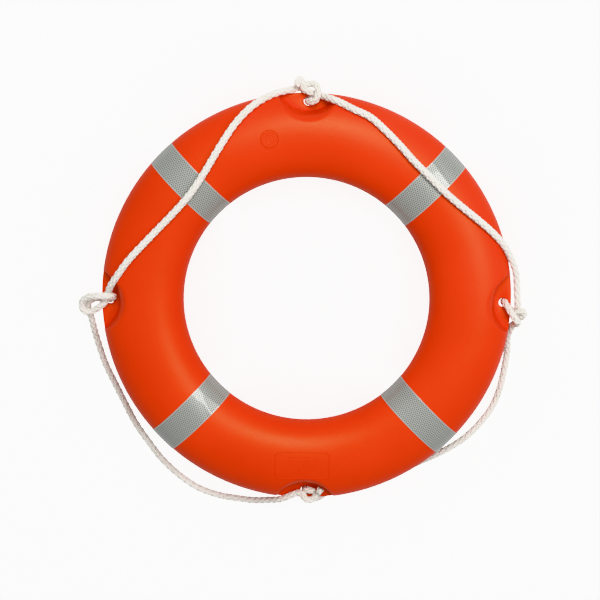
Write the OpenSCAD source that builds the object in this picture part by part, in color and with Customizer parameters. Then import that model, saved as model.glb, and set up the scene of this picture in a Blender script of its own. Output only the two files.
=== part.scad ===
// Ring lifebuoy: a hollow moulded plastic ring filled with foam, lying flat, with four wrapped
// reflective tapes and a grab line that is tied to the four webs in the ring's outer rim.
// The ring's axis is +Z. The origin is the middle of the underside, on the surface it lies on.

/* [Ring] */
// Outer diameter of the ring
outer_d = 750; // [740:5:760]
// Diameter of the central opening
inner_d = 450; // [445:5:455]
// Depth of the ring along its axis, without the tapes
ring_depth = 105; // [100:1:110]
// Wall thickness of the moulded shell
wall = 2.2; // [1.8:0.1:3]
// Height of the flat land around the inner and outer rim, at the parting line
rim_land = 8; // [6:1:10]
// Width of the flat land along the top and the underside
crown_land = 12; // [8:1:16]

/* [Rope webs] */
// Radius of each rim recess where it meets the web
recess_r = 62; // [58:1:66]
// Distance from the ring's axis to a recess's axis
recess_offset = 405; // [402:1:408]
// Thickness of the web that is left between two recesses
web_t = 6; // [5:0.5:8]
// Diameter of the rope hole in each web
web_hole_d = 16; // [14:0.5:18]
// Distance from the ring's axis to a rope hole
web_hole_r = 360; // [358:1:361]

/* [Reflective tape] */
// Width of a tape
tape_w = 52; // [48:1:52]
// Thickness of a tape
tape_t = 0.5; // [0.3:0.1:1]

/* [Filler plug] */
// Diameter of the plug's visible disc
plug_d = 31; // [28:1:34]
// Diameter of the plug's stem
plug_stem_d = 22; // [18:1:24]

/* [Rope] */
// Diameter of the braided rope
rope_d = 12; // [10:0.5:13]
// Sides of a rope tube
rope_sides = 10; // [8:1:12]

/* [Hidden] */

$fn = 96;
hull_orange = "#E8421A";
plug_orange = "#E04418";
foam_cream = "#E9DDB8";
tape_silver = "#A8ACA2";
rope_white = "#E9E6DF";

ring_r = (outer_d + inner_d) / 4;       // radius of the circle that the section's middle follows
half_w = (outer_d - inner_d) / 4;       // half the section's width
half_h = ring_depth / 2;                // half the section's depth
mid_z = tape_t + half_h;                // height of the parting line
rope_r = rope_d / 2;
sides = [0, 90, 180, 270];              // directions of the rope webs
tape_angles = [45, 134.5, 224.5, 315];  // directions of the tapes
plug_angle = 103;                       // direction of the filler plug
section_steps = 10;                     // facets in each quarter of the section

// One quarter of the section's outline: an ellipse between the rim land and the crown land.
function quarter(w, h) =
    let (
        a = w / sqrt(1 - pow(rim_land / 2 / h, 2)),
        b = h / sqrt(1 - pow(crown_land / 2 / w, 2)),
        first = asin(rim_land / 2 / b),
        last = acos(crown_land / 2 / a)
    )
    concat(
        [[w, rim_land / 2]],
        [for (i = [1 : section_steps - 1])
            let (t = first + (last - first) * i / section_steps) [a * cos(t), b * sin(t)]],
        [[crown_land / 2, h]]
    );

function backwards(p) = [for (i = [len(p) - 1 : -1 : 0]) p[i]];

// The whole outline, grown outwards or inwards by a constant.
function outline(grow) =
    let (q = quarter(half_w + grow, half_h + grow))
    concat(
        q,
        backwards([for (p = q) [-p[0], p[1]]]),
        [for (p = q) [-p[0], -p[1]]],
        backwards([for (p = q) [p[0], -p[1]]])
    );

// A solid ring of the section, grown by a constant.
module ring_solid(grow) {
    rotate_extrude($fn = 180)
        translate([ring_r, mid_z])
            polygon(outline(grow));
}

// Radius of the recess's wall at a height above the web's middle: it leans out, then rounds into a lip.
recess_wall = [
    [0, web_t / 2], [recess_r, web_t / 2], [recess_r + 1.5, 15], [recess_r + 3.5, 27], [recess_r + 6, 34],
    [recess_r + 9.5, 40], [recess_r + 14, 45], [recess_r + 19, 48.6], [recess_r + 24, 51.4],
    [recess_r + 32, 54.5], [0, 54.5]
];

// One recess above the web, open to the outer rim.
module recess() {
    translate([recess_offset, 0, mid_z])
        rotate_extrude($fn = 120)
            polygon(recess_wall);
}

// The space that the shell's wall keeps around a recess, from the top of the ring to its underside.
module recess_clearance() {
    half = [for (i = [1 : len(recess_wall) - 2]) [recess_wall[i][0] + wall, recess_wall[i][1] - wall]];
    translate([recess_offset, 0, mid_z])
        rotate_extrude($fn = 120)
            polygon(concat(
                [[0, -half[len(half) - 1][1]]],
                backwards([for (p = half) [p[0], -p[1]]]),
                half,
                [[0, half[len(half) - 1][1]]]
            ));
}

plug_top = mid_z + half_h - 1.3;        // the disc sits just below the crown
plug_flange_t = 2.5;
plug_boss_r = plug_d / 2 + 4;
plug_boss_depth = 8;

module at_plug() {
    rotate(plug_angle) translate([ring_r, 0, 0]) children();
}

// The hollow inside the shell, which the foam fills.
module cavity() {
    difference() {
        ring_solid(-wall);
        for (a = sides) rotate(a) recess_clearance();
        at_plug()
            translate([0, 0, plug_top - plug_boss_depth])
                cylinder(r = plug_boss_r, h = plug_boss_depth + 10);
    }
}

// Moulded shell: the ring's skin with a recess above and below each web, and the rope holes.
module shell() {
    color(hull_orange)
        difference() {
            ring_solid(0);
            cavity();
            for (a = sides) rotate(a) {
                recess();
                translate([0, 0, 2 * mid_z]) mirror([0, 0, 1]) recess();
                translate([web_hole_r, 0, mid_z - web_t])
                    cylinder(d = web_hole_d, h = 2 * web_t);
            }
            at_plug() {
                translate([0, 0, plug_top - plug_flange_t])
                    cylinder(d = plug_d + 0.6, h = plug_flange_t + 10);
                translate([0, 0, plug_top - plug_boss_depth - 1])
                    cylinder(d = plug_stem_d + 0.4, h = plug_boss_depth + 1);
            }
        }
}

// Closed-cell foam that fills the shell and carries the load in the water.
module foam_core() {
    color(foam_cream) cavity();
}

// Plug that closes the filling hole: a disc with raised rings on a short stem.
module filler_plug() {
    ring_widths = [13, 9, 5];
    color(plug_orange)
        at_plug() {
            translate([0, 0, plug_top - plug_flange_t])
                cylinder(d = plug_d, h = plug_flange_t);
            translate([0, 0, plug_top - plug_boss_depth])
                cylinder(d = plug_stem_d, h = plug_boss_depth - plug_flange_t);
            for (r = ring_widths)
                translate([0, 0, plug_top])
                    difference() {
                        cylinder(r = r, h = 0.8);
                        translate([0, 0, -1]) cylinder(r = r - 1.5, h = 3);
                    }
        }
}

// One tape: a band of constant width that wraps the whole section.
module tape(angle) {
    color(tape_silver)
        rotate(angle)
            intersection() {
                difference() {
                    ring_solid(tape_t);
                    ring_solid(0);
                }
                translate([inner_d / 2 - 10, -tape_w / 2, -1])
                    cube([half_w * 2 + 20, tape_w, ring_depth + 10]);
            }
}

// Grab line routes, between the knots: over the ring's face on the upper side, and outside its rim
// on the lower side, where the rope drops to the surface that the ring lies on.
upper_left_route = [
    [-27, 380, 60], [-56, 373, 70], [-86, 358, 84], [-109, 339, 96], [-129, 316, 104], [-145, 292, 109],
    [-161, 266, 112], [-179, 236, 112], [-206, 196, 111], [-233, 165, 111], [-262, 135, 112],
    [-291, 105, 112], [-318, 76, 108], [-338, 49, 102], [-351, 31, 90], [-359, 16, 75]
];
upper_right_route = [
    [23, 369, 61], [51, 359, 88], [80, 345, 96], [108, 332, 100], [136, 308, 105], [162, 282, 109],
    [185, 257, 111], [213, 230, 112], [240, 204, 112], [270, 179, 110], [301, 155, 106], [330, 131, 96],
    [354, 106, 83], [371, 78, 71], [380, 55, 64], [384, 26, 58], [387, -4, 55]
];
lower_left_route = [
    [-398, -34, 44], [-396, -62, 26], [-391, -96, 9], [-380, -132, 7], [-362, -171, 7], [-345, -207, 7],
    [-325, -247, 7], [-301, -283, 7], [-275, -318, 7], [-243, -349, 7], [-207, -374, 7], [-167, -389, 7],
    [-130, -395, 8], [-97, -396, 16], [-69, -389, 33], [-45, -380, 53], [-22, -367, 63]
];
lower_right_route = [
    [385, -46, 44], [381, -66, 26], [380, -98, 9], [376, -136, 7], [368, -176, 7], [354, -212, 7],
    [332, -243, 7], [307, -269, 7], [279, -289, 7], [252, -304, 7], [222, -318, 7], [188, -332, 7],
    [150, -346, 7], [112, -358, 8], [74, -368, 16], [44, -372, 31], [22, -380, 46]
];

function unit(v) = v / norm(v);

// Direction of a route at one of its points.
function heading(route, i) =
    unit(route[min(i + 1, len(route) - 1)] - route[max(i - 1, 0)]);

// A sideways direction at each point, carried along the route so that the tube never twists.
function sideways(route, i = 0, before = [0, 0, 1]) =
    let (
        t = heading(route, i),
        side = unit(before - (before * t) * t)
    )
    i == len(route) - 1 ? [side] : concat([side], sideways(route, i + 1, side));

// A closed tube along a route.
module rope(route) {
    side = sideways(route);
    points = [for (i = [0 : len(route) - 1], k = [0 : rope_sides - 1])
        let (
            up = cross(heading(route, i), side[i]),
            turn = 360 * k / rope_sides
        )
        route[i] + rope_r * (cos(turn) * side[i] + sin(turn) * up)];
    last = (len(route) - 1) * rope_sides;
    walls = [for (i = [0 : len(route) - 2], k = [0 : rope_sides - 1])
        let (
            a = i * rope_sides + k,
            b = i * rope_sides + (k + 1) % rope_sides
        )
        each [[a, a + rope_sides, b], [b, a + rope_sides, b + rope_sides]]];
    near_cap = [for (k = [0 : rope_sides - 1]) k];
    far_cap = [for (k = [rope_sides - 1 : -1 : 0]) last + k];
    color(rope_white)
        polyhedron(points = points, faces = concat(walls, [near_cap, far_cap]));
}

loop_r = 12;                            // radius of the rope's turn through a web hole
loop_middle = web_hole_r + loop_r - 0.5; // distance of that turn's middle from the ring's axis

// One turn of rope through the hole and round the web's outer edge.
module web_turn(angle) {
    rotate(angle)
        translate([loop_middle, 0, mid_z])
            rotate([90, 0, 0])
                rotate_extrude($fn = 48)
                    translate([loop_r, 0]) circle(r = rope_r, $fn = 24);
}

// A rounded length of drawn-up rope between two points.
module capsule(from, to, r) {
    run = to - from;
    translate(from)
        rotate([0, acos(run[2] / norm(run)), atan2(run[1], run[0])]) {
            sphere(r = r, $fn = 32);
            cylinder(r = r, h = norm(run), $fn = 32);
            translate([0, 0, norm(run)]) sphere(r = r, $fn = 32);
        }
}

module knot_top() {
    color(rope_white)
        union() {
            web_turn(90);
            capsule([-12, 383, 62], [11, 383, 63], 10);
        }
}

module knot_left() {
    color(rope_white)
        union() {
            web_turn(180);
            translate([-397, -10, 58])
                rotate_extrude($fn = 48)
                    translate([13, 0]) circle(r = rope_r, $fn = 24);
        }
}

module knot_bottom() {
    color(rope_white)
        union() {
            web_turn(270);
            capsule([2, -373, 64], [15, -372, 64], 9);
        }
}

module knot_right() {
    color(rope_white)
        union() {
            web_turn(0);
            capsule([388, -8, 56], [387, -35, 58], 11);
        }
}

// A heat-sealed cut end of the rope, which sticks out of a knot.
module rope_end(from, to) {
    color(rope_white) capsule(from, to, rope_r);
}

shell();
foam_core();
filler_plug();
tape(tape_angles[0]);  // tape_upper_right
tape(tape_angles[1]);  // tape_upper_left
tape(tape_angles[2]);  // tape_lower_left
tape(tape_angles[3]);  // tape_lower_right
rope(upper_left_route);  // grab_line_upper_left
rope(upper_right_route);  // grab_line_upper_right
rope(lower_left_route);  // grab_line_lower_left
rope(lower_right_route);  // grab_line_lower_right
knot_top();
knot_left();
knot_bottom();
knot_right();
rope_end([-13, 383, 68], [-17, 391, 71]);  // rope_end_top
rope_end([20, -368, 71], [29, -353, 73]);  // rope_end_bottom
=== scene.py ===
"""Ring lifebuoy: builds the looks of the ring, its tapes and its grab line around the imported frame."""

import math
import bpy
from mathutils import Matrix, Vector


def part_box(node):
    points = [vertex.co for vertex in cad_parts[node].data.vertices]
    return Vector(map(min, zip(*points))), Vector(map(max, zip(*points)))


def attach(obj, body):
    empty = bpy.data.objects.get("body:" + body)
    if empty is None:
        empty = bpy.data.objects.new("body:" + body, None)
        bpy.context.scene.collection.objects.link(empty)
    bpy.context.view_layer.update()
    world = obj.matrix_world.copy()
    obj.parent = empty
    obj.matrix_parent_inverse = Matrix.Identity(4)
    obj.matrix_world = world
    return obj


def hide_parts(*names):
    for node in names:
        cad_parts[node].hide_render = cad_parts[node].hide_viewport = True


bl_info = {
    "name": "Ring Lifebuoy",
    "version": (1, 0, 0),
    "blender": (4, 5, 0),
    "location": "3D View > Sidebar > Lifebuoy",
    "description": "Builds a foam-filled ring lifebuoy with wrapped tapes and a braided grab line",
    "category": "Object",
}

import bpy
import numpy as np
from bpy.props import FloatProperty, FloatVectorProperty, IntProperty, PointerProperty, StringProperty
from mathutils import Matrix, Vector

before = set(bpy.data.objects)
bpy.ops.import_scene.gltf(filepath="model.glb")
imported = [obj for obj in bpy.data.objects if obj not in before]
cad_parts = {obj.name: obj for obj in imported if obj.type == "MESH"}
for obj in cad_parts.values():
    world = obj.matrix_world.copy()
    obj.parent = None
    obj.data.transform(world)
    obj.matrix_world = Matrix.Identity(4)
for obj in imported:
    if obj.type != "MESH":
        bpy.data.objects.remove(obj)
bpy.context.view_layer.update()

MM = 0.001
SHELL_LOW, SHELL_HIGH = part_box("shell")
OUTER_R = SHELL_HIGH.x                          # outer radius of the ring
HALF_H = (SHELL_HIGH.z - SHELL_LOW.z) / 2       # half the section's depth
MID_Z = (SHELL_HIGH.z + SHELL_LOW.z) / 2        # height of the parting line
SIDES = [0, 90, 180, 270]                       # directions of the rope webs, in degrees
TAPES = {"upper_right": 45, "upper_left": 134.5, "lower_left": 224.5, "lower_right": 315}
WHITE = "#FFFFFF"
MATHS, VECTORS = "ShaderNodeMath", "ShaderNodeVectorMath"


# ---------------------------------------------------------------- settings


def size(name, description, millimetres):
    """A length setting."""
    return FloatProperty(name=name, description=description, default=millimetres * MM, unit="LENGTH")


def number(name, description, value):
    """A setting that is a plain number, or an angle in degrees."""
    return FloatProperty(name=name, description=description, default=value)


def paint(name, description, hex_colour):
    """A setting that is an sRGB hex colour."""
    return StringProperty(name=name, description=f"sRGB hex colour of {description}", default=hex_colour)


class LIFEBUOY_PG_ring(bpy.types.PropertyGroup):
    """Sizes and colours of the moulded ring."""

    inner_r: size("Inner radius", "Radius of the central opening", 225)
    wall: size("Wall", "Thickness of the moulded skin", 2.2)
    recess_r: size("Recess radius", "Radius of a rim recess at its web", 62)
    recess_offset: size("Recess offset", "Distance from the ring's axis to a recess's axis", 405)
    recess_draft: number("Recess draft", "How far the recess wall leans out, over its height", 0.22)
    recess_lip: size("Recess lip", "How far the rounded lip of a recess flares out", 16.5)
    web_t: size("Web", "Thickness of a rope web", 6)
    hole_r: size("Rope hole", "Radius of the rope hole in a web", 8)
    hole_at: size("Rope hole place", "Distance from the ring's axis to a rope hole", 360)
    colour: paint("Ring colour", "the moulded plastic", "#DA310C")


class LIFEBUOY_PG_plug(bpy.types.PropertyGroup):
    """Sizes of the filler plug."""

    angle: number("Plug direction", "Direction of the plug round the ring, in degrees", 103)
    radius: size("Plug radius", "Radius of its disc", 15.5)
    stem_r: size("Stem radius", "Radius of its stem", 11)
    sink: size("Plug sink", "How far the disc lies below the crown", 1.3)


class LIFEBUOY_PG_tape(bpy.types.PropertyGroup):
    """Sizes and colours of the reflective tapes."""

    width: size("Tape width", "Width of a tape", 52)
    lift: size("Tape lift", "Height of the tape's face over the ring", 0.5)
    overlap: number("Overlap", "Turn by which a tape overlaps itself, in degrees", 16)
    cell: size("Cell size", "Width of one sealed cell of the film", 4.2)
    colour: paint("Cell colour", "a cell", "#727470")
    seal: paint("Seal colour", "the sealed lines", "#B4B6B0")


class LIFEBUOY_PG_rope(bpy.types.PropertyGroup):
    """Sizes and colours of the braided grab line."""

    diameter: size("Rope diameter", "Nominal diameter of the rope", 12)
    strands: IntProperty(name="Strands", description="Number of braided strands", default=8)
    pitch: size("Pitch", "Length in which a strand goes once round", 58)
    braid_r: size("Braid radius", "Mean distance of a strand from the middle", 4.2)
    weave: size("Weave", "How far a strand rises and dips as it crosses", 0.9)
    strand_w: size("Strand width", "Width of a strand", 5.8)
    strand_t: size("Strand thickness", "Thickness of a strand", 3.3)
    colour: paint("Rope colour", "the yarn", "#F7F4ED")
    shade: paint("Rope shade", "the yarn where it is handled", "#E2DDD2")


class LIFEBUOY_PG_stage(bpy.types.PropertyGroup):
    """Camera and studio."""

    distance: size("Camera distance", "From the ring's middle", 1950)
    tilt: number("Camera tilt", "Angle from straight above, towards +Y, in degrees", 8.9)
    roll: number("Camera roll", "Turn of the picture, in degrees", 0.5)
    lens: number("Lens", "Focal length in millimetres", 63.78)
    shift: FloatVectorProperty(
        name="Shift", description="Shift of the picture", size=2, default=(-0.0109, 0.0009)
    )
    key_power: number("Key light", "Power of the key light, in watts", 46)
    side_power: number("Side light", "Power of the side light, in watts", 29)
    light_size: size("Light size", "Side of each square light", 1200)
    sky: number("Sky", "Brightness of the surroundings", 0.56)
    glow: number("Floor glow", "Light of its own that the lit floor shows", 1.75)


# ---------------------------------------------------------------- common helpers


def linear(hex_colour):
    """The linear RGBA of an sRGB hex colour."""
    parts = [int(hex_colour[i:i + 2], 16) / 255 for i in (1, 3, 5)]
    return [c / 12.92 if c <= 0.04045 else ((c + 0.055) / 1.055) ** 2.4 for c in parts] + [1.0]


def add_node(tree, kind, inputs=None, **settings):
    """Adds one node with its settings, and sets or links its inputs by name or place."""
    node = tree.nodes.new(kind)
    for name, value in settings.items():
        setattr(node, name, value)
    for name, value in (inputs or {}).items():
        if isinstance(value, bpy.types.NodeSocket):
            tree.links.new(value, node.inputs[name])
        else:
            node.inputs[name].default_value = value
    return node


def operate(tree, kind, operation, *values, **named):
    """Adds a node that works on its values, and gives its first output."""
    return add_node(tree, kind, dict(enumerate(values)) | named, operation=operation).outputs[0]


def new_material(name):
    """An empty node material and its tree."""
    material = bpy.data.materials.new(name)
    material.use_nodes = True
    material.node_tree.nodes.clear()
    return material, material.node_tree


def finish_material(tree, bump, inputs):
    """Gives the material its shader, with a bump, and sends it to the output."""
    inputs = inputs | {"Normal": bump.outputs["Normal"]}
    shader = add_node(tree, "ShaderNodeBsdfPrincipled", inputs)
    add_node(tree, "ShaderNodeOutputMaterial", {"Surface": shader.outputs["BSDF"]})


def object_from(name, vertices, faces, materials=()):
    """A smooth-shaded mesh object at the origin."""
    mesh = bpy.data.meshes.new(name)
    mesh.from_pydata([tuple(v) for v in vertices], [], [tuple(f) for f in faces])
    mesh.validate()
    for material in materials:
        mesh.materials.append(material)
    thing = bpy.data.objects.new(name, mesh)
    bpy.context.scene.collection.objects.link(thing)
    mesh.shade_smooth()
    return thing


def keep_sharp(thing, angle):
    """Shades a mesh smooth, and keeps its edges above an angle in degrees sharp."""
    thing.data.shade_smooth()
    thing.data.set_sharp_from_angle(angle=math.radians(angle))


def grid_faces(rows, columns, close_rows=True):
    """Quads of a grid of points that is stored row by row and closed along its rows."""
    faces = []
    for r in range(rows if close_rows else rows - 1):
        for c in range(columns):
            a = r * columns + c
            b = (r + 1) % rows * columns + c
            step = (c + 1) % columns - c
            faces.append((a, b, b + step, a + step))
    return faces


def join(pieces, name):
    """Joins objects into one."""
    bpy.ops.object.select_all(action="DESELECT")
    for piece in pieces:
        piece.select_set(True)
    bpy.context.view_layer.objects.active = pieces[0]
    bpy.ops.object.join()
    pieces[0].name = name
    return pieces[0]


def settle(thing):
    """Turns an object and its live modifiers into a plain mesh object."""
    graph = bpy.context.evaluated_depsgraph_get()
    mesh = bpy.data.meshes.new_from_object(thing.evaluated_get(graph), depsgraph=graph)
    old = thing.data
    if isinstance(old, bpy.types.Mesh):
        thing.modifiers.clear()
        thing.data = mesh
        bpy.data.meshes.remove(old)
        return thing
    name = thing.name
    bpy.data.objects.remove(thing)
    made = bpy.data.objects.new(name, mesh)
    bpy.context.scene.collection.objects.link(made)
    return made


def cut(thing, tool, operation):
    """Applies one exact Boolean and removes its tool."""
    modifier = thing.modifiers.new("cut", "BOOLEAN")
    modifier.operation = operation
    modifier.solver = "EXACT"
    modifier.object = tool
    settle(thing)
    bpy.data.objects.remove(tool)


# ---------------------------------------------------------------- materials


def rotomoulded_polyethylene(name, colour):
    """Rotationally moulded polyethylene: a waxy half gloss, faint orange peel from the mould, a colour that
    is deeper where the powder melted thicker, and the fluorescent pigment's yellow in its highlights."""
    material, tree = new_material(name)
    place = add_node(tree, "ShaderNodeTexCoord").outputs["Object"]
    thick = add_node(tree, "ShaderNodeTexNoise", {"Vector": place, "Scale": 7.0, "Detail": 3.0})
    tone = add_node(tree, "ShaderNodeValToRGB", {"Fac": thick.outputs["Fac"]})
    base = linear(colour)
    tone.color_ramp.elements[0].position = 0.3
    tone.color_ramp.elements[0].color = [base[0] * 0.94, base[1] * 0.9, base[2], 1]
    tone.color_ramp.elements[1].position = 0.7
    tone.color_ramp.elements[1].color = [min(base[0] * 1.03, 1), base[1] * 1.08, base[2] * 1.1, 1]
    grain = add_node(tree, "ShaderNodeTexNoise", {"Vector": place, "Scale": 420.0, "Detail": 4.0})
    peel = add_node(tree, "ShaderNodeTexNoise", {"Vector": place, "Scale": 70.0, "Detail": 2.0})
    rough = add_node(
        tree,
        "ShaderNodeMapRange",
        {"Value": grain.outputs["Fac"], "From Min": 0.3, "From Max": 0.7, "To Min": 0.36, "To Max": 0.46},
    )
    fine = add_node(
        tree, "ShaderNodeBump", {"Strength": 0.25, "Distance": 0.12 * MM, "Height": grain.outputs["Fac"]}
    )
    waves = {"Height": peel.outputs["Fac"], "Normal": fine.outputs["Normal"]}
    broad = add_node(tree, "ShaderNodeBump", waves | {"Strength": 0.35, "Distance": 0.5 * MM})
    finish = {
        "Base Color": tone.outputs["Color"],
        "Roughness": rough.outputs["Result"],
        "IOR": 1.51,
        "Specular IOR Level": 0.48,
        "Specular Tint": linear("#F3F3AA"),
    }
    finish_material(tree, broad, finish)
    return material


def hexagon_seal(tree, place, cell):
    """The distance from the middle of each hexagonal cell, 0 to 0.5 at the seal between two cells."""
    root_3 = math.sqrt(3)
    half = (0.5, root_3 / 2, 0.0)
    scaled = operate(tree, VECTORS, "SCALE", place, Scale=1 / cell)
    spots = []
    for where in (scaled, operate(tree, VECTORS, "SUBTRACT", scaled, half)):
        wrapped = operate(tree, VECTORS, "WRAP", where, (0, 0, 0), (1.0, root_3, 1.0))
        spot = operate(tree, VECTORS, "SUBTRACT", wrapped, half)
        spots.append(operate(tree, VECTORS, "MULTIPLY", spot, (1, 1, 0)))
    sizes = [add_node(tree, VECTORS, {0: spot}, operation="LENGTH").outputs["Value"] for spot in spots]
    nearer = operate(tree, MATHS, "GREATER_THAN", *sizes)
    chosen = add_node(
        tree, "ShaderNodeMix", {"Factor": nearer, "A": spots[0], "B": spots[1]}, data_type="VECTOR"
    )
    chosen = [output for output in chosen.outputs if output.type == "VECTOR"][0]
    away = operate(tree, VECTORS, "ABSOLUTE", chosen)
    slant = add_node(tree, VECTORS, {0: away, 1: half}, operation="DOT_PRODUCT").outputs["Value"]
    across = add_node(tree, "ShaderNodeSeparateXYZ", {"Vector": away}).outputs["X"]
    return operate(tree, MATHS, "MAXIMUM", slant, across)


def retroreflective_film(name, colour, seal, cell, width):
    """Retro-reflective film with a glossy clear top: dark beaded cells, sealed off in a pale honeycomb that
    blurs into them, with a pale sealed border along both edges."""
    material, tree = new_material(name)
    place = add_node(tree, "ShaderNodeUVMap", uv_map="tape").outputs["UV"]
    distance = hexagon_seal(tree, place, cell)
    line = add_node(
        tree,
        "ShaderNodeMapRange",
        {"Value": distance, "From Min": 0.26, "From Max": 0.42},
        interpolation_type="SMOOTHSTEP",
    )
    across = add_node(tree, "ShaderNodeSeparateXYZ", {"Vector": place}).outputs["Y"]
    aside = operate(tree, MATHS, "ABSOLUTE", across)
    border = add_node(
        tree,
        "ShaderNodeMapRange",
        {"Value": aside, "From Min": width / 2 - 1.4 * MM, "From Max": width / 2 - 1.0 * MM},
        interpolation_type="SMOOTHSTEP",
    )
    pale = operate(tree, MATHS, "MAXIMUM", line.outputs["Result"], border.outputs["Result"])
    beads = add_node(tree, "ShaderNodeTexNoise", {"Vector": place, "Scale": 900.0, "Detail": 2.0})
    grains = add_node(tree, "ShaderNodeValToRGB", {"Fac": beads.outputs["Fac"]})
    base = linear(colour)
    grains.color_ramp.elements[0].position = 0.35
    grains.color_ramp.elements[0].color = [c * 0.82 for c in base[:3]] + [1]
    grains.color_ramp.elements[1].position = 0.65
    grains.color_ramp.elements[1].color = [c * 1.12 for c in base[:3]] + [1]
    shades = {"Fac": pale, "Color1": grains.outputs["Color"], "Color2": linear(seal)}
    mix = add_node(tree, "ShaderNodeMixRGB", shades)
    raised = add_node(tree, "ShaderNodeBump", {"Strength": 0.4, "Distance": 0.08 * MM, "Height": pale})
    finish = {
        "Base Color": mix.outputs["Color"],
        "Metallic": 0.25,
        "Roughness": 0.42,
        "IOR": 1.5,
        "Coat Weight": 0.8,
        "Coat Roughness": 0.05,
        "Coat IOR": 1.5,
    }
    finish_material(tree, raised, finish)
    return material


def braided_polypropylene(name, colour, shade_colour):
    """Braided multifilament polypropylene: matt yarns that run along each strand, paler on the crowns and
    greyer where hands have been."""
    material, tree = new_material(name)
    along = add_node(tree, "ShaderNodeAttribute", attribute_name="along").outputs["Fac"]
    around = add_node(tree, "ShaderNodeAttribute", attribute_name="around").outputs["Fac"]
    place = add_node(tree, "ShaderNodeTexCoord").outputs["Object"]
    # one yarn is 0.9 mm wide, coarser than the real filament so that it shows
    lay = operate(tree, MATHS, "MULTIPLY", along, 45.0)
    turn = operate(tree, MATHS, "MULTIPLY_ADD", around, 15.0, lay)
    wave = operate(tree, MATHS, "SINE", operate(tree, MATHS, "MULTIPLY", turn, 2 * math.pi))
    fuzz = add_node(tree, "ShaderNodeTexNoise", {"Vector": place, "Scale": 1400.0, "Detail": 3.0})
    dirt = add_node(tree, "ShaderNodeTexNoise", {"Vector": place, "Scale": 26.0, "Detail": 4.0})
    wear = add_node(
        tree,
        "ShaderNodeMapRange",
        {"Value": dirt.outputs["Fac"], "From Min": 0.45, "From Max": 0.75, "To Min": 0.0, "To Max": 0.7},
    )
    shades = {"Fac": wear.outputs["Result"], "Color1": linear(colour), "Color2": linear(shade_colour)}
    mix = add_node(tree, "ShaderNodeMixRGB", shades)
    yarn = add_node(tree, "ShaderNodeBump", {"Strength": 0.55, "Distance": 0.25 * MM, "Height": wave})
    fibres = {"Height": fuzz.outputs["Fac"], "Normal": yarn.outputs["Normal"]}
    hair = add_node(tree, "ShaderNodeBump", fibres | {"Strength": 0.4, "Distance": 0.2 * MM})
    finish = {
        "Base Color": mix.outputs["Color"],
        "Roughness": 0.72,
        "IOR": 1.49,
        "Sheen Weight": 0.15,
        "Sheen Roughness": 0.5,
    }
    finish_material(tree, hair, finish)
    return material


def melted_polypropylene(name):
    """Rope end sealed with a hot knife: yellowed, half-glossy melted yarn with small lumps."""
    material, tree = new_material(name)
    place = add_node(tree, "ShaderNodeTexCoord").outputs["Object"]
    lumps = add_node(tree, "ShaderNodeTexNoise", {"Vector": place, "Scale": 380.0, "Detail": 3.0})
    tone = add_node(tree, "ShaderNodeValToRGB", {"Fac": lumps.outputs["Fac"]})
    tone.color_ramp.elements[0].position = 0.35
    tone.color_ramp.elements[0].color = linear("#A79C8B")
    tone.color_ramp.elements[1].position = 0.65
    tone.color_ramp.elements[1].color = linear("#DDD8CD")
    bump = add_node(
        tree, "ShaderNodeBump", {"Strength": 0.6, "Distance": 0.5 * MM, "Height": lumps.outputs["Fac"]}
    )
    finish_material(tree, bump, {"Base Color": tone.outputs["Color"], "Roughness": 0.4, "IOR": 1.49})
    return material


def poured_foam(name):
    """Closed-cell polyurethane foam: cream, matt, with small open bubbles on a cut face."""
    material, tree = new_material(name)
    place = add_node(tree, "ShaderNodeTexCoord").outputs["Object"]
    bubbles = add_node(tree, "ShaderNodeTexVoronoi", {"Vector": place, "Scale": 500.0})
    tone = add_node(tree, "ShaderNodeValToRGB", {"Fac": bubbles.outputs["Distance"]})
    tone.color_ramp.elements[0].color = linear("#CDBE93")
    tone.color_ramp.elements[1].color = linear("#EADFBC")
    bump = add_node(
        tree, "ShaderNodeBump", {"Strength": 0.5, "Distance": 0.4 * MM, "Height": bubbles.outputs["Distance"]}
    )
    finish_material(tree, bump, {"Base Color": tone.outputs["Color"], "Roughness": 0.9, "IOR": 1.5})
    return material


def studio_floor(name, glow):
    """Matt opal acrylic board, lit from behind: it looks white, and throws little of that light back."""
    material, tree = new_material(name)
    place = add_node(tree, "ShaderNodeTexCoord").outputs["Object"]
    tooth = add_node(tree, "ShaderNodeTexNoise", {"Vector": place, "Scale": 600.0, "Detail": 2.0})
    bump = add_node(
        tree, "ShaderNodeBump", {"Strength": 0.05, "Distance": 0.1 * MM, "Height": tooth.outputs["Fac"]}
    )
    seen = add_node(tree, "ShaderNodeLightPath").outputs["Is Camera Ray"]
    finish = {
        "Base Color": linear("#D6D6D6"),
        "Roughness": 0.8,
        "Specular IOR Level": 0.2,
        "Emission Color": linear(WHITE),
        "Emission Strength": operate(tree, MATHS, "MULTIPLY", seen, glow),
    }
    finish_material(tree, bump, finish)
    return material


# ---------------------------------------------------------------- ring


def section_of(ring):
    """The radius of the circle that the section's middle follows, and half the section's width."""
    return (OUTER_R + ring.inner_r) / 2, (OUTER_R - ring.inner_r) / 2


def recess_reach(ring, height, grow):
    """Radius of a recess's wall at a height from the web's middle: it leans out, then flares into a lip."""
    lean = ring.recess_draft * (height - ring.web_t / 2)
    flare = ring.recess_lip * (height / (HALF_H + 2 * MM)) ** 6
    return ring.recess_r + grow + np.maximum(lean, 0) + flare


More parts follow.
